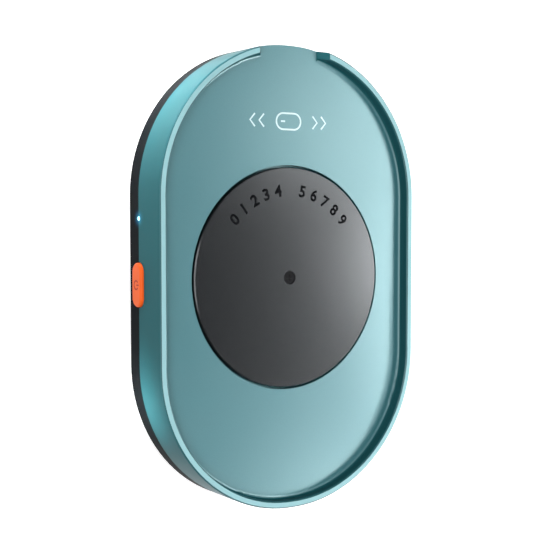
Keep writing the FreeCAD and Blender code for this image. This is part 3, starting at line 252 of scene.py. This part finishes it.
def teal_shell():
    """Satin lacquer with a fine flake: glossy on level faces, matt on walls, with painted shade darkening
    the walls and a pale painted highlight on top of the rim.
    """
    shader = Shader("teal_shell", TEAL, 0.32, IOR=1.8, Specular_Tint=(0.86, 1.0, 1.0, 1))
    flake = shader.noise(0.12 * MM, 1.0)
    dark, light = tuple(c * 0.94 for c in TEAL), tuple(c * 1.06 for c in TEAL)
    body = shader.mix(shader.spread(flake, 0.35, 0.65, 0, 1), dark, light)
    height = shader.axes()[2]
    upward = shader.upward()
    level = shader.spread(upward, *LEVEL_FACING, 0, 1)
    top = shader.spread(height, rim_top - RIM_HIGHLIGHT_DROP[0], rim_top - RIM_HIGHLIGHT_DROP[1], 0, 1)
    # Where the pale painted highlight lies on top of the rim; the same mask also roughens that top.
    rim_highlight = shader.math("MULTIPLY", top, shader.spread(upward, *RIM_HIGHLIGHT_FACING, 0, 1))
    # Base colour: the walls get a darker painted shade, and the top of the rim a pale painted highlight.
    shader.feed("Base Color", shader.mix(rim_highlight, shader.mix(level, TEAL_WALL_PAINTED_SHADE, body), TEAL_RIM_PAINTED_HIGHLIGHT))
    rough = shader.patches(12 * MM, 3.0, 0.31, 0.33)
    shader.feed("Roughness", shader.math("MULTIPLY_ADD", rim_highlight, 0.25, rough))
    flat = shader.math("MAXIMUM", shader.math("SUBTRACT", level, rim_highlight), 0)
    shader.feed("Metallic", shader.math("MULTIPLY", flat, 0.15))
    shader.feed("Specular IOR Level", shader.math("MULTIPLY_ADD", flat, 0.88, 0.02))
    shader.bump(flake, 0.12, 0.003 * MM)
    glow_near_light(shader, 0.45, 1.3 * MM)
    return shader


def black_base():
    shader = moulded("black_base", (0.0028, 0.0045, 0.0058), 0.5, Specular_IOR_Level=0.03)
    glow_near_light(shader, 0.35, 1.4 * MM)
    return shader


def grey_disc():
    """Soft-touch lacquer, smooth and dark."""
    return moulded(
        "grey_disc", (0.0075, 0.0085, 0.0100), 0.25, grain=0.12 * MM, depth=0.001 * MM, shade=0.02,
        unevenness=0.01, IOR=1.8, Specular_IOR_Level=0.62, Specular_Tint=(0.92, 0.97, 1.0, 1),
    )


def orange_button():
    """Satin orange with a painted glow, stronger on faces that look up as a painted highlight, with the
    standby sign in a darker orange.
    """
    shader = moulded(
        "orange_button", ORANGE, 0.36, grain=0.15 * MM, depth=0.003 * MM, Specular_IOR_Level=0.15
    )
    x, y, z = shader.axes()
    along = shader.math("SUBTRACT", y, (button_low.y + button_high.y) / 2)
    above = shader.math("SUBTRACT", z, (button_low.z + button_high.z) / 2)
    circle = shader.near(shader.math("SQRT", shader.square_sum(along, above)), RING_RADIUS, RING_HALF)
    gap = shader.math("MULTIPLY", shader.math("ABSOLUTE", along), RING_GAP)
    ring = shader.math("MULTIPLY", circle, shader.math("LESS_THAN", above, gap))
    upright = shader.near(along, 0, STROKE_HALF)
    stroke = shader.math("MULTIPLY", upright, shader.near(above, STROKE_MIDDLE, STROKE_REACH))
    face = shader.math("LESS_THAN", x, button_low.x + 0.1 * MM)
    mark = shader.math("MULTIPLY", shader.math("MAXIMUM", ring, stroke), face)
    # Painted glow: the button is no lamp, and faces that look up glow more, as a painted highlight.
    shader.set("Emission Color", (1.0, 0.11, 0.008, 1))
    shader.feed("Emission Strength", shader.math("MULTIPLY_ADD", shader.upward(), 0.25, 0.06))
    plain = shader.surface.inputs["Base Color"].links[0].from_socket
    shader.feed("Base Color", shader.mix(mark, plain, ORANGE_SIGN))
    return shader


def light_pipe():
    """Clear plastic whose outer end is lit."""
    shader = Shader("clear_lens", (0.35, 0.8, 0.95), 0.2)
    end = shader.math("LESS_THAN", shader.axes()[0], light_low.x + 0.2 * MM)
    shader.set("Emission Color", (0.30, 0.80, 1.0, 1))
    shader.feed("Emission Strength", shader.math("MULTIPLY", end, 2.2))
    return shader


def circuit_board():
    """Green solder mask with paler lines for the tracks under it."""
    shader = Shader("board", (0.012, 0.10, 0.035), 0.3)
    tracks = shader.add("TexBrick")
    tracks.inputs["Scale"].default_value = 260
    for socket, colour in (("Color1", (0.010, 0.085, 0.03)), ("Color2", (0.014, 0.11, 0.04))):
        tracks.inputs[socket].default_value = (*colour, 1)
    tracks.inputs["Mortar"].default_value = (0.03, 0.20, 0.07, 1)
    shader.links.new(shader.place(), tracks.inputs["Vector"])
    shader.feed("Base Color", tracks.outputs["Color"])
    return shader


def make_materials():
    """One material for every slot of the record."""
    return {
        "teal_shell": teal_shell(),
        "black_base": black_base(),
        "rubber": moulded("rubber", (0.018, 0.018, 0.018), 0.8, grain=0.3 * MM, depth=0.01 * MM),
        "dark_steel": moulded(
            "dark_steel", (0.009, 0.0095, 0.011), 0.5, grain=0.1 * MM, Specular_IOR_Level=0.12
        ),
        "grey_disc": grey_disc(),
        "bright_steel": metal("bright_steel", (0.62, 0.62, 0.61), 0.28),
        "brass_parts": metal("brass_parts", (0.78, 0.56, 0.25), 0.26),
        "white_nylon": moulded("white_nylon", (0.78, 0.78, 0.74), 0.45, Subsurface_Weight=0.1),
        "lead_jacket": moulded("lead_jacket", (0.5, 0.02, 0.02), 0.4),
        "board": circuit_board(),
        "chip_black": moulded("chip_black", (0.012, 0.012, 0.013), 0.5),
        "capacitor": moulded("capacitor", (0.38, 0.25, 0.15), 0.45),
        "clear_lens": light_pipe(),
        "orange_button": orange_button(),
    }


def dress_nodes(materials):
    for part in frame["record"]["subparts"]:
        node = frame["nodes"][part["node"]]
        node.data.materials.clear()
        node.data.materials.append(materials[part["material_slot"]].material)


# Printing ---------------------------------------------------------------------------------------

def printed(name, colour, meshes, level, body):
    """Joins flat meshes, given in the plane of level, into one thin layer of ink that rides a body."""
    shader = moulded(name, colour, 0.65, grain=0.1 * MM, depth=0.001 * MM, Specular_IOR_Level=0.1)
    whole = bmesh.new()
    for mesh in meshes:
        whole.from_mesh(mesh)
    data = bpy.data.meshes.new(name)
    whole.to_mesh(data)
    whole.free()
    for vertex in data.vertices:
        vertex.co.z = level + INK
    data.materials.append(shader.material)
    piece = bpy.data.objects.new(name, data)
    bpy.context.collection.objects.link(piece)
    thick = piece.modifiers.new("ink", "SOLIDIFY")
    thick.thickness = INK
    thick.offset = 0
    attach(piece, body)


def glyph(text, height, centre, angle):
    """Flat mesh of one digit from Blender's own font, turned by angle, in radians, from upright along +Y."""
    curve = bpy.data.curves.new("glyph", "FONT")
    curve.body = text
    curve.align_x, curve.align_y = "CENTER", "CENTER"
    curve.size = height / CAP_SHARE
    curve.resolution_u = 6
    curve.offset = DIGIT_BOLDNESS
    holder = bpy.data.objects.new("glyph", curve)
    mesh = bpy.data.meshes.new_from_object(holder)
    mesh.transform(Matrix.Translation((*centre, 0)) @ Matrix.Rotation(angle, 4, "Z"))
    bpy.data.objects.remove(holder)
    return mesh


def print_digits():
    """Plain numbers on an arc of the disc, in two groups of five."""
    meshes = []
    for place, digit in enumerate(DIGITS):
        if digit == " ":
            continue
        angle = math.radians(ARC_START + (ARC_END - ARC_START) * place / (len(DIGITS) - 1))
        centre = (ARC_RADIUS * math.cos(angle), ARC_RADIUS * math.sin(angle))
        meshes.append(glyph(digit, DIGIT_HEIGHT, centre, angle - math.pi / 2))
    printed("disc_numbers", (0.003, 0.0035, 0.005), meshes, disc_top, "turntable")


def outline_mesh(points, width, closed):
    """Flat ribbon of a width along points, in a ring when closed."""
    work = bmesh.new()
    count = len(points)
    rows = []
    for number, point in enumerate(points):
        before = points[number - 1] if closed or number else point
        after = points[(number + 1) % count] if closed or number < count - 1 else point
        along = (Vector(after) - Vector(before)).normalized()
        aside = Vector((-along.y, along.x)) * width / 2
        rows.append([work.verts.new((*(Vector(point) + side * aside), 0)) for side in (1, -1)])
    for number in range(count if closed else count - 1):
        first, second = rows[number], rows[(number + 1) % count]
        work.faces.new((first[0], first[1], second[1], second[0]))
    mesh = bpy.data.meshes.new("stroke")
    work.to_mesh(mesh)
    work.free()
    return mesh


def print_sign():
    """A computer mouse in outline, with two chevrons on either side."""
    x, y = SIGN_PLACE
    radius = SIGN_HEIGHT / 2
    body = []
    for start, side in ((-90, 1), (90, -1)):
        for step in range(ROUND_STEPS + 1):
            angle = math.radians(start + 180 / ROUND_STEPS * step)
            body.append((x + side * SIGN_REACH + radius * math.cos(angle), y + radius * math.sin(angle)))
    wheel = [(x + WHEEL_START, y), (x + WHEEL_END, y)]
    meshes = [outline_mesh(body, SIGN_STROKE, True), outline_mesh(wheel, SIGN_STROKE, False)]
    half = radius * CHEVRON_SHARE
    for side in (1, -1):
        for place in CHEVRON_FEET:
            tip = x + side * (place + CHEVRON_DEPTH)
            foot = x + side * place
            points = [(foot, y + half), (tip, y), (foot, y - half)]
            meshes.append(outline_mesh(points, SIGN_STROKE, False))
    printed("tray_sign", (0.75, 0.92, 0.94), meshes, tray_level, "housing")


# Stage ------------------------------------------------------------------------------------------

PART_MIDDLE = (0, 0, 0.015)
PANEL_REACH = 0.32  # from the tray to the panels at its right
PANEL_HEIGHT = 0.05
FLOOR_GLOW = 0.48
WORLD_GLOW = 0.01

# Panels at the right: tilt in degrees, place along Y, width and watts.
RIGHT_PANELS = [
    (36, 0.075, 0.07, 0.045),
    (46, -0.075, 0.07, 0.014),
    (46, 0.0, 0.07, 0.105),
    (46, 0.075, 0.07, 0.074),
    (56, -0.075, 0.07, 0.38),
    (40, -0.22, 0.20, 0.28),
]

# Large panels above, at the left and past both ends: name, place, width, height and watts.
FILL_PANELS = [
    ("top_fill", (-0.17, 0, 0.98), 0.6, 0.6, 1.9),
    ("left_fill", (-0.70, 0, 0.71), 0.8, 0.5, 6.0),
    ("far_fill", (0, 0.71, 0.71), 0.6, 0.3, 1.0),
    ("near_fill", (0, -0.71, 0.71), 0.6, 0.3, 0.5),
]

# Small panels beside the left wall: name, place, target, width, height, watts and spread.
CORNER_PANELS = [
    ("far_corner", (-0.060, 0.080, 0.014), (-0.032, 0.053, 0.004), 0.03, 0.012, 0.032, 110),
    ("near_corner", (-0.085, -0.050, 0.012), (-0.0425, -0.033, 0.006), 0.008, 0.008, 0.003, 36),
]


def make_camera():
    camera = bpy.data.cameras.new("camera")
    camera.angle = math.radians(FIELD_OF_VIEW)
    camera.clip_start = 0.01
    holder = bpy.data.objects.new("camera", camera)
    holder.location = EYE
    holder.rotation_euler = [math.radians(a) for a in EYE_TURN]
    bpy.context.collection.objects.link(holder)
    bpy.context.scene.camera = holder


def softbox(name, place, target, width, height, watts, spread=180):
    """A panel whose width runs level and whose height runs up. spread, in degrees, narrows the beam."""
    light = bpy.data.lights.new(name, "AREA")
    light.shape = "RECTANGLE"
    light.size, light.size_y = width, height
    light.energy = watts
    light.spread = math.radians(spread)
    holder = bpy.data.objects.new(name, light)
    holder.location = place
    holder.rotation_euler = (Vector(target) - Vector(place)).to_track_quat("-Z", "Y").to_euler()
    bpy.context.collection.objects.link(holder)


def right_panel(tilt, y, width, watts):
    """A panel at the right, tilted from straight up about the Y axis, that faces the tray at y."""
    angle = math.radians(tilt)
    place = (PANEL_REACH * math.sin(angle), y, PANEL_REACH * math.cos(angle))
    softbox("beside", place, (0, y, PART_MIDDLE[2]), width, PANEL_HEIGHT, watts)


def make_stage():
    bpy.ops.mesh.primitive_plane_add(size=6)
    floor = bpy.context.object
    floor.name = "floor"
    shader = Shader("floor", (0.95, 0.95, 0.95), 0.9)
    shader.set("Emission Color", (1, 1, 1, 1))
    shader.set("Emission Strength", FLOOR_GLOW)
    floor.data.materials.append(shader.material)

    world = bpy.data.worlds.new("studio")
    world.use_nodes = True
    backdrop = world.node_tree.nodes["Background"]
    backdrop.inputs["Color"].default_value = (1, 1, 1, 1)
    backdrop.inputs["Strength"].default_value = WORLD_GLOW
    bpy.context.scene.world = world
    bpy.context.scene.view_settings.view_transform = "Standard"

    for panel in RIGHT_PANELS:
        right_panel(*panel)
    for name, place, width, height, watts in FILL_PANELS:
        softbox(name, place, PART_MIDDLE, width, height, watts)
    for panel in CORNER_PANELS:
        softbox(*panel)


make_camera()
make_stage()
dress_nodes(make_materials())
print_digits()
print_sign()
